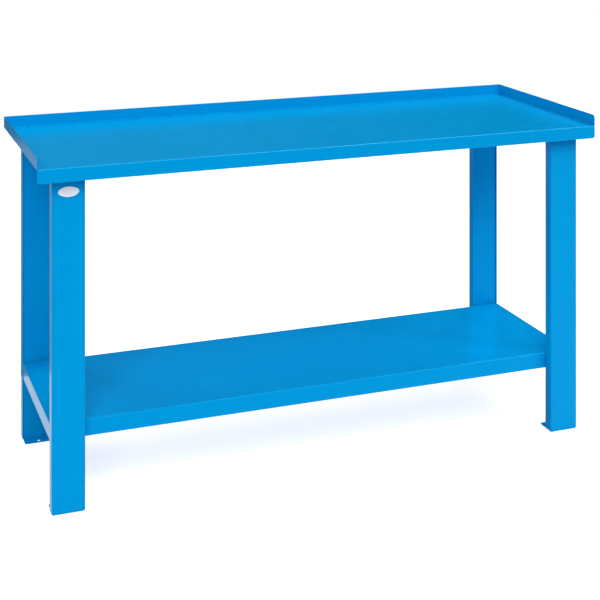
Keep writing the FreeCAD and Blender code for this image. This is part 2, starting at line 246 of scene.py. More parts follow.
def cut_edges(shape):
    """Sharp edges of a sheet, less the short ones where a face thins out to a sliver."""
    sharp = {edge for edge in shape.edges
             if len(edge.link_faces) == 2 and edge.calc_face_angle(0) > math.radians(40)}
    left_out = set()
    for vert in shape.verts:
        meeting = [edge for edge in vert.link_edges if edge in sharp]
        ways = [edge.other_vert(vert).co - vert.co for edge in meeting]
        tiny = any(way.length < 0.08 * MM for way in ways)
        wedge = any(way.angle(other) < math.radians(25) for i, way in enumerate(ways) for other in ways[:i])
        if tiny or wedge:
            left_out.update(edge for edge in meeting if edge.calc_length() < 3 * MM)
    return [edge for edge in shape.edges if edge in sharp and edge not in left_out]


def bevel_cut_edges(shape):
    """Round the cut edges of a sheet and mark the rounded faces."""
    radius = bpy.context.scene.bench_sheet.edge_radius
    for face in shape.faces:
        face.material_index = 0
    bmesh.ops.bevel(
        shape, geom=cut_edges(shape), offset=radius, offset_type="OFFSET", segments=3, profile=0.5,
        affect="EDGES", clamp_overlap=False, material=1)
    rim = shape.faces.layers.float.new("rim")
    for face in shape.faces:
        face[rim] = float(face.material_index == 1)
        face.material_index = 0
        face.smooth = True


def round_edges(piece):
    """Round the cut edges of a sheet piece and keep its bends smooth and its flats flat."""
    edit_shape(piece, bevel_cut_edges)
    piece.modifiers.new("normals", "WEIGHTED_NORMAL").keep_sharp = False
    return plain_mesh(piece)


def sheet_copy(node):
    """A welded copy of a folded sheet from the frame, with its cut edges rounded."""
    piece = new_object(node + "_sheet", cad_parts[node].data.copy())
    piece.data.name = piece.name
    edit_shape(piece, weld_facets)
    return round_edges(piece)


def inner_plate(node):
    """Plate that closes a leg's channel from foot to head, with a notch and a slot for the shelf's ear."""
    sheet = bpy.context.scene.bench_sheet
    low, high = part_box(node)
    shelf_low, shelf_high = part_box("shelf")
    side = math.copysign(1, low.x + high.x)
    away = math.copysign(1, low.y + high.y)
    face = high.y if away > 0 else low.y
    shown = face - away * sheet.inner_plate_depth
    middle = (low.x + high.x) / 2
    half = (high.x - low.x) / 2 - sheet.thickness - PLATE_GAP
    inner, outer = middle - side * half, middle + side * half
    notch, slot = outer - side * NOTCH_WIDTH, outer - side * (sheet.thickness + PLATE_GAP)
    foot, head = low.z + sheet.thickness, high.z - sheet.thickness
    notch_foot, notch_top = shelf_low.z - NOTCH_ROOM, shelf_high.z - NOTCH_DROP
    slot_top = shelf_high.z - SLOT_DROP
    outline = [(inner, foot), (outer, foot), (outer, notch_foot), (notch, notch_foot), (notch, notch_top),
               (slot, notch_top), (slot, slot_top), (outer, slot_top), (outer, head), (inner, head)]
    shape = bmesh.new()
    rings = [[shape.verts.new((x, y, z)) for x, z in outline]
             for y in (shown, shown + away * sheet.thickness)]
    for ring in rings:
        shape.faces.new(ring)
    for i in range(len(outline)):
        following = (i + 1) % len(outline)
        shape.faces.new((rings[0][i], rings[0][following], rings[1][following], rings[1][i]))
    bmesh.ops.recalc_face_normals(shape, faces=shape.faces)
    return round_edges(shape_object(node + "_inner_plate", shape))


# --- geometry trees ------------------------------------------------------------------------------------
class Tree:
    """A node tree being built: short calls that add nodes and wire them."""

    def __init__(self, tree):
        self.tree = tree

    def add(self, kind, values=(), **settings):
        """Add a node. Each value is a socket to wire in or a constant, by input name or number."""
        node = self.tree.nodes.new(kind)
        for key, value in settings.items():
            setattr(node, key, value)
        for key, value in dict(values).items():
            if isinstance(value, bpy.types.NodeSocket):
                self.tree.links.new(value, node.inputs[key])
            else:
                node.inputs[key].default_value = value
        return node

    def math(self, operation, *values):
        """Result of one math node."""
        return self.add("ShaderNodeMath", enumerate(values), operation=operation).outputs[0]

    def mix(self, factor, low, high):
        """Number between two others."""
        reach = self.math("SUBTRACT", high, low)
        return self.math("MULTIPLY_ADD", factor, reach, low)


def geometry_tree(name, inputs):
    """A geometry tree with a geometry in and out, and named inputs for its sizes."""
    group = bpy.data.node_groups.new(name, "GeometryNodeTree")
    group.interface.new_socket("Geometry", in_out="INPUT", socket_type="NodeSocketGeometry")
    for label, kind in inputs:
        group.interface.new_socket(label, in_out="INPUT", socket_type="NodeSocket" + kind)
    group.interface.new_socket("Geometry", in_out="OUTPUT", socket_type="NodeSocketGeometry")
    return Tree(group), group.nodes.new("NodeGroupInput").outputs


def close_tree(tree, geometry, material):
    """End a geometry tree with real geometry in its material."""
    real = tree.add("GeometryNodeRealizeInstances", {"Geometry": geometry}).outputs[0]
    done = tree.add("GeometryNodeSetMaterial", {"Geometry": real, "Material": material}).outputs[0]
    tree.add("NodeGroupOutput", {0: done})
    return tree.tree


def grow(name, base, group, values):
    """Run a geometry tree on a base mesh and keep its result as a plain mesh."""
    piece = bpy.data.objects.new(name, base)
    modifier = piece.modifiers.new(group.name, "NODES")
    modifier.node_group = group
    for item in group.interface.items_tree:
        if item.in_out == "INPUT" and item.name in values:
            modifier[item.identifier] = values[item.name]
    bpy.context.scene.collection.objects.link(piece)
    return plain_mesh(piece)


# --- ribs ----------------------------------------------------------------------------------------------
def folded_strip_tree():
    """A strip of sheet swept along its fold line, with a bend at each corner."""
    tree, given = geometry_tree("folded_strip", [
        ("Sweep", "Vector"), ("Length", "Float"), ("Thickness", "Float"), ("Bend radius", "Float"),
        ("Bend steps", "Int"), ("Material", "Material")])
    line = tree.add("GeometryNodeMeshToCurve", {"Mesh": given["Geometry"]}).outputs[0]
    bent = tree.add("GeometryNodeFilletCurve", {
        "Curve": line, "Count": given["Bend steps"],
        "Radius": given["Bend radius"]}, mode="POLY").outputs[0]
    turned = tree.add("GeometryNodeSetCurveNormal", {
        "Curve": bent, "Normal": given["Sweep"]}, mode="FREE").outputs[0]
    section = tree.add("GeometryNodeCurvePrimitiveQuadrilateral", {
        "Width": given["Length"], "Height": given["Thickness"]}).outputs[0]
    strip = tree.add("GeometryNodeCurveToMesh", {
        "Curve": turned, "Profile Curve": section, "Fill Caps": True}).outputs[0]
    return close_tree(tree, strip, given["Material"])


def fold_line(node):
    """Fold line of a hat rib, through the middle of its sheet and of its length, as a mesh of edges."""
    sheet = bpy.context.scene.bench_sheet
    low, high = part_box(node)
    half = sheet.thickness / 2
    wall = sheet.rib_flange + half
    x = (low.x + high.x) / 2
    web = low.z + half
    top = high.z - half
    section = [(low.y, top), (low.y + wall, top), (low.y + wall, web),
               (high.y - wall, web), (high.y - wall, top), (high.y, top)]
    mesh = bpy.data.meshes.new(node + "_line")
    mesh.from_pydata([(x, y, z) for y, z in section], [(i, i + 1) for i in range(len(section) - 1)], [])
    return mesh


def weld_places(node):
    """Middles of the spot welds along both flanges of a hat rib, on their lower faces."""
    sheet = bpy.context.scene.bench_sheet
    low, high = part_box(node)
    count = int((high.x - low.x) / sheet.weld_spacing)
    margin = (high.x - low.x - (count - 1) * sheet.weld_spacing) / 2
    rows = (low.y + sheet.rib_flange * WELD_ROW, high.y - sheet.rib_flange * WELD_ROW)
    return [Vector((low.x + margin + i * sheet.weld_spacing, y, high.z - sheet.thickness))
            for y in rows for i in range(count)]


def weld_outline():
    """Outline of a spot weld's mark: a shallow crater inside a low ring, with its root in the sheet."""
    radius = bpy.context.scene.bench_sheet.weld_diameter / 2
    return [(0, -0.10 * MM), (radius * 0.55, -0.10 * MM), (radius * 0.72, 0.16 * MM),
            (radius * 0.86, 0.16 * MM), (radius, 0.02 * MM), (radius, -0.5 * MM), (0, -0.5 * MM)]


def make_rib(node, strip, material):
    """Build a hat rib and the marks of its spot welds."""
    sheet = bpy.context.scene.bench_sheet
    low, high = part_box(node)
    rib = grow(node + "_hat", fold_line(node), strip, {
        "Sweep": (1.0, 0.0, 0.0), "Length": high.x - low.x, "Thickness": sheet.thickness,
        "Bend radius": sheet.bend_radius, "Bend steps": sheet.bend_steps, "Material": material})
    edit_shape(rib, face_outwards)
    round_edges(rib)
    finish_piece(rib, "frame_powder_coat", material, node)
    places = [(place, Vector((0, 0, -1))) for place in weld_places(node)]
    marks = turned_parts(node + "_spot_welds", places, weld_outline(), material)
    finish_piece(marks, "frame_powder_coat", material)


# --- turned parts --------------------------------------------------------------------------------------
def turned_part_tree():
    """A blank's outline turned about its axis, milled to a hexagon and threaded, set at every point.

    The outline runs through the blank's points in order, with its radius along X and its height along Z.
    """
    tree, given = geometry_tree("turned_part", [
        ("Blank", "Object"), ("Facets", "Int"), ("Across flats", "Float"), ("Thread pitch", "Float"),
        ("Thread depth", "Float"), ("Seed", "Int"), ("Material", "Material")])
    add, calc = tree.add, tree.math
    blank = add("GeometryNodeObjectInfo", {"Object": given["Blank"]}).outputs["Geometry"]
    count = add("GeometryNodeAttributeDomainSize", {"Geometry": blank}).outputs["Point Count"]
    grid = add("GeometryNodeMeshGrid", {
        "Size X": 1.0, "Size Y": 1.0, "Vertices X": calc("ADD", given["Facets"], 1.0),
        "Vertices Y": count}).outputs["Mesh"]
    place = add("GeometryNodeInputPosition").outputs[0]
    across, along, _ = add("ShaderNodeSeparateXYZ", {0: place}).outputs
    turn = calc("MULTIPLY", calc("ADD", across, 0.5), math.tau)
    last = calc("SUBTRACT", count, 1.0)
    ring = calc("ROUND", calc("MULTIPLY", calc("ADD", along, 0.5), last))

    def from_blank(value, kind):
        return add("GeometryNodeSampleIndex", {
            "Geometry": blank, "Value": value, "Index": ring}, data_type=kind, domain="POINT").outputs[0]

    def mark(name):
        field = add("GeometryNodeInputNamedAttribute", {"Name": name}, data_type="FLOAT")
        return from_blank(field.outputs["Attribute"], "FLOAT")

    outline = add("ShaderNodeSeparateXYZ", {0: from_blank(place, "FLOAT_VECTOR")}).outputs
    radius, height = outline[0], outline[2]
    flat_turn = calc("SUBTRACT", calc("MODULO", turn, math.pi / 3), math.pi / 6)
    half_flats = calc("MULTIPLY", given["Across flats"], 0.5)
    hexagon = calc("DIVIDE", half_flats, calc("COSINE", flat_turn))
    milled = tree.mix(mark("milled"), radius, calc("MINIMUM", radius, hexagon))
    phase = calc("SUBTRACT", calc("DIVIDE", height, given["Thread pitch"]), calc("DIVIDE", turn, math.tau))
    groove = calc("MULTIPLY", calc("PINGPONG", phase, 0.5), 2.0)
    cut = calc("MULTIPLY", calc("MULTIPLY", groove, given["Thread depth"]), mark("threaded"))
    reach = calc("SUBTRACT", milled, cut)
    point = add("ShaderNodeCombineXYZ", {
        0: calc("MULTIPLY", reach, calc("COSINE", turn)),
        1: calc("MULTIPLY", reach, calc("SINE", turn)), 2: height}).outputs[0]
    solid = add("GeometryNodeSetPosition", {"Geometry": grid, "Position": point}).outputs[0]
    closed = add("GeometryNodeMergeByDistance", {"Geometry": solid, "Distance": BUILT_GAP}).outputs[0]

    axis = add("GeometryNodeInputNamedAttribute", {"Name": "axis"}, data_type="FLOAT_VECTOR")
    aimed = add("FunctionNodeAlignRotationToVector", {
        "Vector": axis.outputs["Attribute"]}, axis="Z").outputs[0]
    spin = add("FunctionNodeRandomValue", {
        "Min": 0.0, "Max": math.tau, "Seed": given["Seed"]}, data_type="FLOAT")
    spin_output = next(item for item in spin.outputs if item.enabled)
    twist = add("ShaderNodeCombineXYZ", {2: spin_output}).outputs[0]
    euler = add("FunctionNodeEulerToRotation", {0: twist}).outputs[0]
    turned = add("FunctionNodeRotateRotation", {
        "Rotation": aimed, "Rotate By": euler}, rotation_space="LOCAL").outputs[0]
    points = add("GeometryNodeMeshToPoints", {"Mesh": given["Geometry"]}).outputs[0]
    placed = add("GeometryNodeInstanceOnPoints", {
        "Points": points, "Instance": closed, "Rotation": turned}).outputs[0]
    return close_tree(tree, placed, given["Material"])


def turned_parts(name, places, outline, material, milled=(), threaded=()):
    """One turned part at each place, from its outline of (radius, height) points.

    A milled or threaded span is its lowest height, its highest, and the radius that a point has to exceed.
    """
    fasteners = bpy.context.scene.bench_fasteners
    group = bpy.data.node_groups.get("turned_part") or turned_part_tree()
    line = bpy.data.meshes.new(name + "_outline")
    line.from_pydata([(radius, 0, height) for radius, height in outline], [], [])
    for mark, spans in (("milled", milled), ("threaded", threaded)):
        layer = line.attributes.new(mark, "FLOAT", "POINT")
        for index, (radius, height) in enumerate(outline):
            inside = any(low <= height <= high and radius > least for low, high, least in spans)
            layer.data[index].value = float(inside)
    blank = new_object(name + "_blank", line)
    base = bpy.data.meshes.new(name + "_places")
    base.from_pydata([place for place, _ in places], [], [])
    axes = base.attributes.new("axis", "FLOAT_VECTOR", "POINT")
    for index, (_, axis) in enumerate(places):
        axes.data[index].vector = axis
    piece = grow(name, base, group, {
        "Blank": blank, "Facets": fasteners.sides, "Across flats": fasteners.across_flats,
        "Thread pitch": fasteners.thread_pitch, "Thread depth": THREAD_SHARE * fasteners.thread_pitch,
        "Seed": fasteners.seed, "Material": material})
    bpy.data.objects.remove(blank)
    bpy.data.meshes.remove(line)
    edit_shape(piece, face_outwards)
    piece.data.shade_smooth()
    piece.data.set_sharp_from_angle(angle=math.radians(35))
    return piece


def solid_boxes(node):
    """Lowest and highest corners of each separate solid of a frame node."""
    shape = bmesh.new()
    shape.from_mesh(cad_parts[node].data)
    bmesh.ops.remove_doubles(shape, verts=shape.verts, dist=FRAME_GAP)
    left = set(shape.verts)
    boxes = []
    while left:
        reached = [left.pop()]
        for vert in reached:
            for edge in vert.link_edges:
                other = edge.other_vert(vert)
                if other in left:
                    left.remove(other)
                    reached.append(other)
        low = Vector([min(vert.co[i] for vert in reached) for i in range(3)])
        high = Vector([max(vert.co[i] for vert in reached) for i in range(3)])
        boxes.append((low, high))
    shape.free()
    return sorted(boxes, key=lambda box: (round(box[0].x, 4), round(box[0].y, 4)))


def solid_size(node):
    """Width, depth and height of the first solid of a frame node."""
    low, high = solid_boxes(node)[0]
    return [end - start for start, end in zip(low, high)]


def upright_places(node):
    """Foot and axis of each solid of a node that stands upright."""
    return [(Vector(((low.x + high.x) / 2, (low.y + high.y) / 2, low.z)), Vector((0, 0, 1)))
            for low, high in solid_boxes(node)]


def inward_places(node):
    """Outer end and axis of each solid of a node that points along X to the middle of the bench."""
    places = []
    for low, high in solid_boxes(node):
        side = math.copysign(1, low.x + high.x)
        outer = high.x if side > 0 else low.x
        places.append((Vector((outer, (low.y + high.y) / 2, (low.z + high.z) / 2)), Vector((-side, 0, 0))))
    return places


def thread_heights(start, end):
    """Heights of the rings that draw a thread."""
    steps = round((end - start) / (bpy.context.scene.bench_fasteners.thread_pitch / THREAD_RINGS))
    return [start + (end - start) * i / steps for i in range(steps + 1)]


def shank_outline(start, end):
    """Outline of a threaded shank, from where it leaves its root to its chamfered tip."""
    fasteners = bpy.context.scene.bench_fasteners
    radius = fasteners.thread_diameter / 2
    core = radius - THREAD_SHARE * fasteners.thread_pitch
    tip = end - 1.0 * MM
    rings = [(radius, height) for height in thread_heights(start, tip)]
    return rings + [(core + 0.1 * MM, end), (0, end)]


def hexagon_radii():
    """Radius over the corners, and radius where the end chamfer starts."""
    flats = bpy.context.scene.bench_fasteners.across_flats
    return flats / math.sqrt(3), flats * 0.475


def chamfer(inner, outer, height, away):
    """Rings of a 30 degree chamfer between two radii; away is the way that the body lies."""
    rise = (outer - inner) * math.tan(math.radians(30))
    return [(inner + (outer - inner) * i / CHAMFER_STEPS, height + away * rise * i / CHAMFER_STEPS)
            for i in range(CHAMFER_STEPS + 1)]


def bolt_outline():
    """Outline of a bolt, head down: a dished head, its seat, a fillet and a threaded shank."""
    corner, flat = hexagon_radii()
    seat = bpy.context.scene.bench_fasteners.head_height
    face = seat - 0.4 * MM
    head = [(0, 0.25 * MM), (flat * 0.80, 0.25 * MM), (flat * 0.88, 0)] + chamfer(flat, corner, 0, 1)
    under = [(corner, face), (flat * 0.95, face), (flat * 0.95, seat)]
    shank = shank_outline(seat + 0.9 * MM, seat + 16 * MM)
    return head + under + [(shank[0][0] + 0.25 * MM, seat), (shank[0][0], seat + 0.4 * MM)] + shank


def nut_outline(height):
    """Outline of a nut, chamfered at both ends, with a plain bore."""
    corner, flat = hexagon_radii()
    bore = bpy.context.scene.bench_fasteners.thread_diameter / 2 + 0.05 * MM
    mouth = bore + 0.4 * MM
    start = (bore, 0.4 * MM)
    lower = chamfer(flat, corner, 0, 1)
    upper = [(radius, height - rise) for radius, rise in reversed(lower)]
    return [start, (mouth, 0)] + lower + upper + [(mouth, height), (bore, height - 0.4 * MM), start]


def washer_outline(outside, thickness):
    """Outline of a washer with softened edges."""
    bore = bpy.context.scene.bench_fasteners.thread_diameter / 2 + 0.2 * MM
    soft = 0.2 * MM
    return [(bore, soft), (bore + soft, 0), (outside - 2 * soft, 0), (outside, 1.5 * soft),
            (outside, thickness - soft), (outside - soft, thickness), (bore + soft, thickness),
            (bore, thickness - soft), (bore, soft)]


# --- badge ---------------------------------------------------------------------------------------------
def oval_ring(inset, share=1.0, steps=160):
    """Corners of the badge's oval, drawn in by an inset and then shrunk to a share of its size.

    The oval has tight arcs at its ends and wide arcs above and below.
    """
    low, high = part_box("oval_badge")
    middle = (low + high) / 2
    long_half, short_half = (high.x - low.x) / 2, (high.z - low.z) / 2
    end_radius = bpy.context.scene.bench_badge.end_radius
    reach = long_half - end_radius
    wide = (reach ** 2 + short_half ** 2 - end_radius ** 2) / (2 * (short_half - end_radius))
    joint = math.atan2(wide - short_half, reach)
    ring = []
    for i in range(steps):
        turn = math.tau * i / steps
        side, rise = math.cos(turn), math.sin(turn)
        slope = math.atan2(abs(rise), abs(side))
        if slope < joint:
            x = reach + (end_radius - inset) * math.cos(slope)
            z = (end_radius - inset) * math.sin(slope)
        else:
            x = (wide - inset) * math.cos(slope)
            z = (wide - inset) * math.sin(slope) - (wide - short_half)
        ring.append((middle.x + math.copysign(x * share, side), middle.z + math.copysign(z * share, rise)))
    return ring


def build_badge():
    """Plate with a rounded raised rim and a gently domed bare field."""
    badge = bpy.context.scene.bench_badge
    low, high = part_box("oval_badge")
    back, front = high.y, low.y
    rim, rise = badge.rim_width, badge.rim_rise
    profile = [(0, back), (0, front + 0.55 * MM), (0.08 * MM, front + 0.3 * MM),
               (0.25 * MM, front + 0.1 * MM), (0.5 * MM, front), (rim - 0.3 * MM, front),
               (rim - 0.1 * MM, front + 0.08 * MM), (rim + 0.1 * MM, front + rise - 0.06 * MM),
               (rim + 0.35 * MM, front + rise)]
    shape = bmesh.new()
    rings = [[shape.verts.new((x, y, z)) for x, z in oval_ring(inset)] for inset, y in profile]
    for i in range(1, DOME_STEPS):
        share = 1 - i / DOME_STEPS
        y = front + rise - badge.dome * (1 - share ** 2)
        rings.append([shape.verts.new((x, y, z)) for x, z in oval_ring(profile[-1][0], share)])
    for outer, inner in zip(rings, rings[1:]):
        for i, vert in enumerate(outer):
            following = (i + 1) % len(outer)
            shape.faces.new((vert, outer[following], inner[following], inner[i]))
    shape.faces.new(rings[0])
    shape.faces.new(rings[-1])
    face_outwards(shape)
    plate = shape_object("oval_badge_plate", shape)
    plate.data.shade_smooth()
    plate.data.set_sharp_from_angle(angle=math.radians(40))
    return plate


# --- materials -----------------------------------------------------------------------------------------
def material_tree(name):
    """An empty node material, its tree and its object coordinates."""
    material = bpy.data.materials.new(name)
    material.use_nodes = True
    material.node_tree.nodes.clear()
    tree = Tree(material.node_tree)
    place = tree.add("ShaderNodeTexCoord").outputs["Object"]
    return material, tree, place


def noise(tree, place, size, detail=2.0, shift=(0, 0, 0), stretch=(1, 1, 1)):
    """Noise between 0 and 1 with features of about this size."""
    mapped = tree.add("ShaderNodeMapping", {
        "Vector": place, "Location": shift, "Scale": [part / size for part in stretch]}).outputs[0]
    return tree.add("ShaderNodeTexNoise", {
        "Vector": mapped, "Scale": 1.0, "Detail": detail, "Roughness": 0.5}).outputs[0]


def ranged(tree, value, low, high, start=0.3, end=0.7):
    """Spread a value from start..end over low..high."""
    return tree.add("ShaderNodeMapRange", {
        "Value": value, "From Min": start, "From Max": end, "To Min": low, "To Max": high}).outputs[0]


def bump(tree, height, distance, under=None):
    """Relief of this depth, on top of another if one is given."""
    values = {"Height": height, "Distance": distance, "Strength": 1.0}
    if under:
        values["Normal"] = under
    return tree.add("ShaderNodeBump", values).outputs[0]


def powder_coat(name, extra_roughness, shift):
    """Semi-gloss powder coat: faint shade drift, orange peel, and a rougher coat over cut edges, painted
    paler there as a highlight.
    """
    coat = bpy.context.scene.bench_coat
    material, tree, place = material_tree(name)
    drift = noise(tree, place, 420 * MM, 3.0, shift)
    cloud = noise(tree, place, 38 * MM, 4.0, shift)
    grain = noise(tree, place, coat.peel_size * 0.5, 1.0, shift)
    peel = noise(tree, place, coat.peel_size, 2.0, shift)
    wave = noise(tree, place, 130 * MM, 1.0, shift)
    shade = tree.math("MULTIPLY", ranged(tree, drift, 0.985, 1.015), ranged(tree, cloud, 0.99, 1.01))
    shade = tree.math("MULTIPLY", shade, ranged(tree, grain, 0.985, 1.015))
    rim = tree.add("ShaderNodeAttribute", attribute_name="rim").outputs["Fac"]
    body = (*coat.colour, 1)
    # painted highlight: cut edges get a paler, greener tint that stands in for the light they catch
    edge_highlight = (EDGE_HIGHLIGHT_RED, *(min(part * gain, 1) for part, gain in zip(coat.colour[1:], EDGE_HIGHLIGHT_GAINS)), 1)
    tint = tree.add("ShaderNodeMix", {
        "Factor": tree.math("MULTIPLY", rim, 0.8), "A": body, "B": edge_highlight}, data_type="RGBA")
    colour = tree.add("ShaderNodeVectorMath", {
        0: tint.outputs["Result"], "Scale": shade}, operation="SCALE")
    rough = tree.math("ADD", ranged(tree, drift, coat.roughness, coat.roughness + 0.04),
                      ranged(tree, cloud, 0.0, 0.05))
    rough = tree.math("ADD", rough, extra_roughness)
    rough = tree.math("ADD", rough, tree.math("MULTIPLY", rim, 0.08))
    relief = bump(tree, wave, 0.10 * MM)
    relief = bump(tree, peel, coat.peel_height, relief)
    shader = tree.add("ShaderNodeBsdfPrincipled", {
        "Base Color": colour.outputs[0], "Roughness": rough, "Normal": relief,
        "Specular IOR Level": 0.4, "Specular Tint": (0.0, 0.5, 1.0, 1.0)})
    tree.add("ShaderNodeOutputMaterial", {"Surface": shader.outputs[0]})
    return material


def zinc_plate():
    """Bright zinc with a faint blue and straw passivation and fine turning marks."""
    coat = bpy.context.scene.bench_coat
    material, tree, place = material_tree("zinc_finish")
    bloom = noise(tree, place, 3.5 * MM, 3.0)
    spots = noise(tree, place, 0.8 * MM, 3.0, (4, 1, 7))
    marks = noise(tree, place, 0.5 * MM, 2.0, (2, 9, 3), (1, 1, 5))
    tint = tree.add("ShaderNodeValToRGB", {"Fac": bloom})
    stops = ((0.32, (0.92, 0.92, 0.92)), (0.70, (1.06, 1.03, 0.94)))
    for stop, (position, gains) in zip(tint.color_ramp.elements, stops):
        stop.position = position
        stop.color = (*(part * gain for part, gain in zip(coat.zinc_colour, gains)), 1)
    rough = tree.math("ADD", ranged(tree, spots, 0.22, 0.36), ranged(tree, bloom, 0.0, 0.08))
    relief = bump(tree, marks, 0.006 * MM)
    shader = tree.add("ShaderNodeBsdfPrincipled", {
        "Base Color": tint.outputs[0], "Metallic": 1.0, "Roughness": rough, "Normal": relief})
    tree.add("ShaderNodeOutputMaterial", {"Surface": shader.outputs[0]})
    return material


def badge_enamel():
    """Smooth white enamel with a faint mottle and hairline polish marks."""
    material, tree, place = material_tree("badge_finish")
    mottle = noise(tree, place, 9 * MM, 3.0)
    hair = noise(tree, place, 0.9 * MM, 2.0, (3, 5, 1), (0.15, 1, 1))
    shade = tree.math("MULTIPLY", ranged(tree, mottle, 0.98, 1.02), ranged(tree, hair, 0.99, 1.01))
    colour = tree.add("ShaderNodeVectorMath", {
        0: bpy.context.scene.bench_badge.colour, "Scale": shade}, operation="SCALE")
    rough = ranged(tree, hair, 0.16, 0.26)
    relief = bump(tree, mottle, 0.015 * MM)
    shader = tree.add("ShaderNodeBsdfPrincipled", {
        "Base Color": colour.outputs[0], "Roughness": rough, "Normal": relief, "Coat Weight": 0.4,
        "Coat Roughness": 0.08})
    tree.add("ShaderNodeOutputMaterial", {"Surface": shader.outputs[0]})
    return material


# record slot, extra roughness, and where in the noise the coat starts
COATS = {
    "worktop_powder_coat": (0.05, (0, 0, 0)),
    "leg_powder_coat": (0.03, (5, 2, 8)),
    "shelf_powder_coat": (0.0, (9, 4, 1)),
    "frame_powder_coat": (0.04, (3, 7, 5)),
}


def coat_for(slot):
    """The powder coat of a record slot, made once."""
    name = slot.replace("powder_coat", "coat_finish")
    return bpy.data.materials.get(name) or powder_coat(name, *COATS[slot])


# --- operators -----------------------------------------------------------------------------------------
class SheetOperator:
    """Shared work of the operators that dress folded sheets from the frame."""

    group = ""
    slot = ""

    def execute(self, context):
        for node in SHEET_NODES[self.group]:
            finish_piece(sheet_copy(node), self.slot, coat_for(self.slot), node)
        return {"FINISHED"}


class BENCH_OT_worktop(SheetOperator, bpy.types.Operator):
    """Build the worktop: a tray with lips at the back and ends and an apron in front"""

    bl_idname = "bench.worktop"
    bl_label = "Worktop"
    group = "worktop"
    slot = "worktop_powder_coat"


class BENCH_OT_legs(SheetOperator, bpy.types.Operator):
    """Build the four folded legs with their foot and head plates"""

    bl_idname = "bench.legs"
    bl_label = "Legs"
    group = "legs"
    slot = "leg_powder_coat"


class BENCH_OT_inner_plates(bpy.types.Operator):
    """Build the plates that close the legs' channels"""

    bl_idname = "bench.inner_plates"
    bl_label = "Inner plates"

    def execute(self, context):
        for node in SHEET_NODES["legs"]:
            finish_piece(inner_plate(node), "leg_powder_coat", coat_for("leg_powder_coat"))
        return {"FINISHED"}


class BENCH_OT_shelf(SheetOperator, bpy.types.Operator):
    """Build the lower shelf with its skirts and fixing ears"""

    bl_idname = "bench.shelf"
    bl_label = "Shelf"
    group = "shelf"
    slot = "shelf_powder_coat"


class BENCH_OT_end_channels(SheetOperator, bpy.types.Operator):
    """Build the channels that the legs bolt to, under each end of the worktop"""

    bl_idname = "bench.end_channels"
    bl_label = "End channels"
    group = "end_channels"
    slot = "frame_powder_coat"


class BENCH_OT_ribs(bpy.types.Operator):
    """Build the hat ribs under the worktop and the shelf, with their spot welds"""

    bl_idname = "bench.ribs"
    bl_label = "Ribs"

    def execute(self, context):
        strip = folded_strip_tree()
        for node in RIB_NODES:
            make_rib(node, strip, coat_for("frame_powder_coat"))
        return {"FINISHED"}


class BENCH_OT_fasteners(bpy.types.Operator):
    """Build the bolts, weld nuts, studs, washers and nuts"""

    bl_idname = "bench.fasteners"
    bl_label = "Fasteners"

    def execute(self, context):
        zinc = zinc_plate()
        seat = context.scene.bench_fasteners.head_height
        weld_nut = nut_outline(solid_size("head_weld_nuts")[2])
        shelf_nut = nut_outline(solid_size("shelf_nuts")[0])
        washer_thickness, _, washer_width = solid_size("shelf_washers")
        washer = washer_outline(washer_width / 2, washer_thickness)
        stud_length = solid_size("shelf_studs")[0]
        radius = context.scene.bench_fasteners.thread_diameter / 2
        stud = [(0, 0), (radius, 0), (radius, 0.8 * MM)] + shank_outline(1.2 * MM, stud_length)
        nut_flats = [(0, 10 * MM, 5 * MM)]
        pieces = [
            ("head_bolts", upright_places, bolt_outline(), [(0, seat - 0.4 * MM, 0)],
             [(seat + 1.2 * MM, seat + 14.9 * MM, 0)]),
            ("head_weld_nuts", upright_places, weld_nut, nut_flats, []),
            ("shelf_studs", inward_places, stud, [], [(1.5 * MM, stud_length - 1.1 * MM, 0)]),
            ("shelf_washers", inward_places, washer, [], []),
            ("shelf_nuts", inward_places, shelf_nut, nut_flats, []),
        ]
        for node, places, outline, milled, threaded in pieces:
            piece = turned_parts(node + "_m8", places(node), outline, zinc, milled, threaded)
            finish_piece(piece, "zinc_plate", zinc, node)
        return {"FINISHED"}


class BENCH_OT_badge(bpy.types.Operator):
    """Build the bare oval badge on the front left leg"""

    bl_idname = "bench.badge"
    bl_label = "Badge"

    def execute(self, context):
        finish_piece(build_badge(), "badge_white", badge_enamel(), "oval_badge")
        return {"FINISHED"}


class BENCH_OT_stage(bpy.types.Operator):
    """Set up the floor, the light and the camera"""

    bl_idname = "bench.stage"
    bl_label = "Stage"

    def execute(self, context):
        context.scene.view_settings.view_transform = "Standard"
        make_floor()
        make_world()
        make_lamps()
        make_camera()
        return {"FINISHED"}


PIECES = (
    BENCH_OT_worktop, BENCH_OT_legs, BENCH_OT_inner_plates, BENCH_OT_shelf, BENCH_OT_end_channels,
    BENCH_OT_ribs, BENCH_OT_fasteners, BENCH_OT_badge, BENCH_OT_stage)


class BENCH_PT_pieces(bpy.types.Panel):
    """Sizes, colours and pieces of the bench"""

    bl_idname = "BENCH_PT_pieces"
    bl_label = "Assembly table"
    bl_space_type = "VIEW_3D"
    bl_region_type = "UI"
    bl_category = "Bench"

    def draw(self, context):
        for label, settings in (("Sheet", "bench_sheet"), ("Fasteners", "bench_fasteners"),
                                ("Badge", "bench_badge"), ("Coat", "bench_coat"), ("Stage", "bench_stage")):
            box = self.layout.box()
            box.label(text=label)
            group = getattr(context.scene, settings)
            for name in group.__annotations__:
                box.prop(group, name)
        for piece in PIECES:
            self.layout.operator(piece.bl_idname)


# --- stage ---------------------------------------------------------------------------------------------
EYE = Vector((-1.2631, -3.3876, 1.5421))       # metres
YAW = math.radians(20.15)                       # the view turns from +Y towards +X
SIDE_SHEAR = 0.00481                            # sideways lean of the view, per unit of depth
DROP_SHEAR = -0.32841                           # downward lean of the view, per unit of depth

FLOOR_GLOW = 0.75                               # what the camera sees on top of the floor's own shade
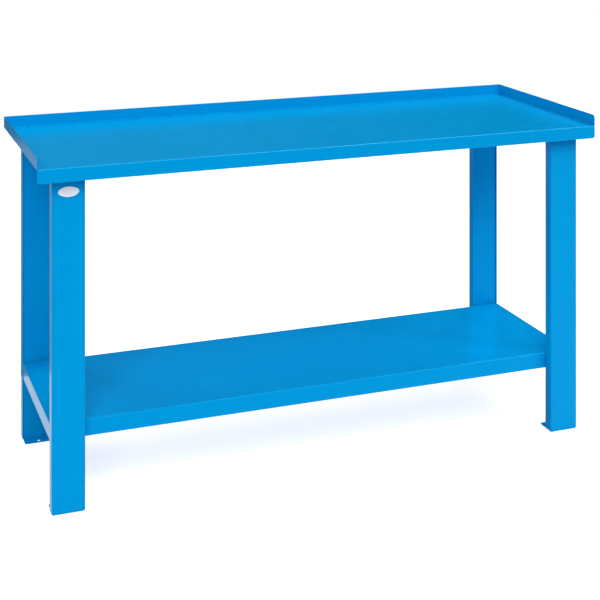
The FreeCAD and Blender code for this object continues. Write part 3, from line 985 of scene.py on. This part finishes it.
# name, low x, low y, high x, high y, brightness in reflections
FLOOR_PARTS = (
    ("floor", -6.0, -6.0, 6.0, -0.25, 1.0),
    ("floor_left", -6.0, -0.25, -0.7, 0.65, 1.0),
    # the part under the bench is dimmer in reflections: a painted shadow of the bench on the floor
    ("floor_under", -0.7, -0.25, 6.0, 0.65, 0.15),
    ("floor_back_left", -6.0, 0.65, -0.8, 4.0, 0.40),
    ("floor_back_right", -0.8, 0.65, 6.0, 4.0, 0.0),
)
ROOM_GLOW = 0.04                                # brightest grey of the room, behind the bench's left end
LAMP_DISTANCE = 4.0                             # metres from the origin, which shows in the viewport only

# name, degrees round from the front towards the right, degrees up, degrees wide, strength, and whether
# reflections show it
LAMPS = (
    ("key", -21, 35, 30, 1.48, True),
    ("left_low", -90, 14, 28, 0.36, False),
    ("fill_high", 20, 58, 30, 0.84, True),
    ("fill_low", 47, 40, 12, 0.45, True),
    ("right_high", 90, 58, 30, 0.50, True),
    ("back_right", 145, 55, 30, 0.87, True),
    ("back_left", -145, 32, 26, 0.62, False),
)


def make_camera():
    """A view camera: its back stands upright while it looks down, so upright edges stay parallel."""
    data = bpy.data.cameras.new("view_camera")
    data.lens = bpy.context.scene.bench_stage.focal_length
    data.sensor_fit = "HORIZONTAL"
    data.sensor_width = 36
    data.clip_end = 60
    camera = bpy.data.objects.new("view_camera", data)
    right = Vector((math.cos(YAW), -math.sin(YAW), 0))
    ahead = Vector((math.sin(YAW), math.cos(YAW), 0))
    up = Vector((0, 0, 1))
    sight = ahead + right * SIDE_SHEAR + up * DROP_SHEAR
    back = -sight / sight.length
    lean = Matrix.Identity(4)
    for column, vector in enumerate((right, up, back, EYE)):
        for row in range(3):
            lean[row][column] = vector[row]
    holder = bpy.data.objects.new("camera_holder", None)
    for item in (holder, camera):
        bpy.context.scene.collection.objects.link(item)
    camera.parent = holder
    camera.matrix_parent_inverse = lean
    bpy.context.scene.camera = camera


def floor_finish(name, reflected):
    """Pale floor: it shades and bounces as written, shows white to the camera, and glows in reflections."""
    material = bpy.data.materials.new(name)
    material.use_nodes = True
    material.node_tree.nodes.clear()
    tree = Tree(material.node_tree)
    colour = (*bpy.context.scene.bench_stage.floor_colour, 1)
    path = tree.add("ShaderNodeLightPath").outputs
    matt = tree.add("ShaderNodeBsdfDiffuse", {"Color": colour}).outputs[0]
    glow = tree.add("ShaderNodeEmission", {"Strength": FLOOR_GLOW}).outputs[0]
    mirrored = tree.add("ShaderNodeEmission", {"Strength": reflected}).outputs[0]
    lit = tree.add("ShaderNodeAddShader", {0: matt, 1: glow}).outputs[0]
    seen = tree.add("ShaderNodeMixShader", {0: path["Is Camera Ray"], 1: matt, 2: lit}).outputs[0]
    shown = tree.add("ShaderNodeMixShader", {0: path["Is Glossy Ray"], 1: seen, 2: mirrored}).outputs[0]
    tree.add("ShaderNodeOutputMaterial", {"Surface": shown})
    return material


def make_floor():
    """Build the floor in parts, which differ only in how bright they are in reflections."""
    for name, low_x, low_y, high_x, high_y, reflected in FLOOR_PARTS:
        mesh = bpy.data.meshes.new(name)
        mesh.from_pydata([(low_x, low_y, 0), (high_x, low_y, 0), (high_x, high_y, 0), (low_x, high_y, 0)],
                         [], [(0, 1, 2, 3)])
        mesh.materials.append(floor_finish(name + "_white", reflected))
        new_object(name, mesh)


def make_world():
    """White to the camera, and a nearly dark room for the light, with a faint glow behind the left end."""
    world = bpy.data.worlds.new("studio")
    bpy.context.scene.world = world
    world.use_nodes = True
    world.node_tree.nodes.clear()
    tree = Tree(world.node_tree)
    direction = tree.add("ShaderNodeTexCoord").outputs["Generated"]
    across = tree.add("ShaderNodeSeparateXYZ", {0: direction}).outputs[0]
    room = ranged(tree, across, ROOM_GLOW, 0.0, 0.18, 0.48)
    path = tree.add("ShaderNodeLightPath").outputs
    strength = tree.add("ShaderNodeMix", {
        "Factor": path["Is Camera Ray"], "A": room, "B": 1.0}, data_type="FLOAT").outputs[0]
    shader = tree.add("ShaderNodeBackground", {"Color": (1, 1, 1, 1), "Strength": strength}).outputs[0]
    tree.add("ShaderNodeOutputWorld", {"Surface": shader})


def make_lamps():
    """Soft distant lamps, like large panels in a studio."""
    for name, round_angle, rise_angle, width, strength, mirrored in LAMPS:
        round_turn, rise_turn = math.radians(round_angle), math.radians(rise_angle)
        source = Vector((math.sin(round_turn) * math.cos(rise_turn),
                         -math.cos(round_turn) * math.cos(rise_turn), math.sin(rise_turn)))
        data = bpy.data.lights.new(name, "SUN")
        data.angle = math.radians(width)
        data.energy = strength
        lamp = bpy.data.objects.new(name, data)
        lamp.visible_glossy = mirrored
        lamp.location = source * LAMP_DISTANCE
        lamp.rotation_euler = source.to_track_quat("Z", "Y").to_euler()
        bpy.context.scene.collection.objects.link(lamp)


SETTINGS = {
    "bench_sheet": SheetSettings,
    "bench_fasteners": FastenerSettings,
    "bench_badge": BadgeSettings,
    "bench_coat": CoatSettings,
    "bench_stage": StageSettings,
}
CLASSES = (*SETTINGS.values(), *PIECES, BENCH_PT_pieces)


def register():
    """Register the settings, the operators and the panel."""
    for item in CLASSES:
        bpy.utils.register_class(item)
    for name, settings in SETTINGS.items():
        setattr(bpy.types.Scene, name, PointerProperty(type=settings))


def unregister():
    """Take the settings, the operators and the panel out again."""
    for name in SETTINGS:
        delattr(bpy.types.Scene, name)
    for item in reversed(CLASSES):
        bpy.utils.unregister_class(item)


def main():
    """Build every piece and the stage."""
    register()
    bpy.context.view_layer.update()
    bpy.ops.bench.worktop()
    bpy.ops.bench.legs()
    bpy.ops.bench.inner_plates()
    bpy.ops.bench.shelf()
    bpy.ops.bench.end_channels()
    bpy.ops.bench.ribs()
    bpy.ops.bench.fasteners()
    bpy.ops.bench.badge()
    bpy.ops.bench.stage()


if __name__ == "__main__":
    main()
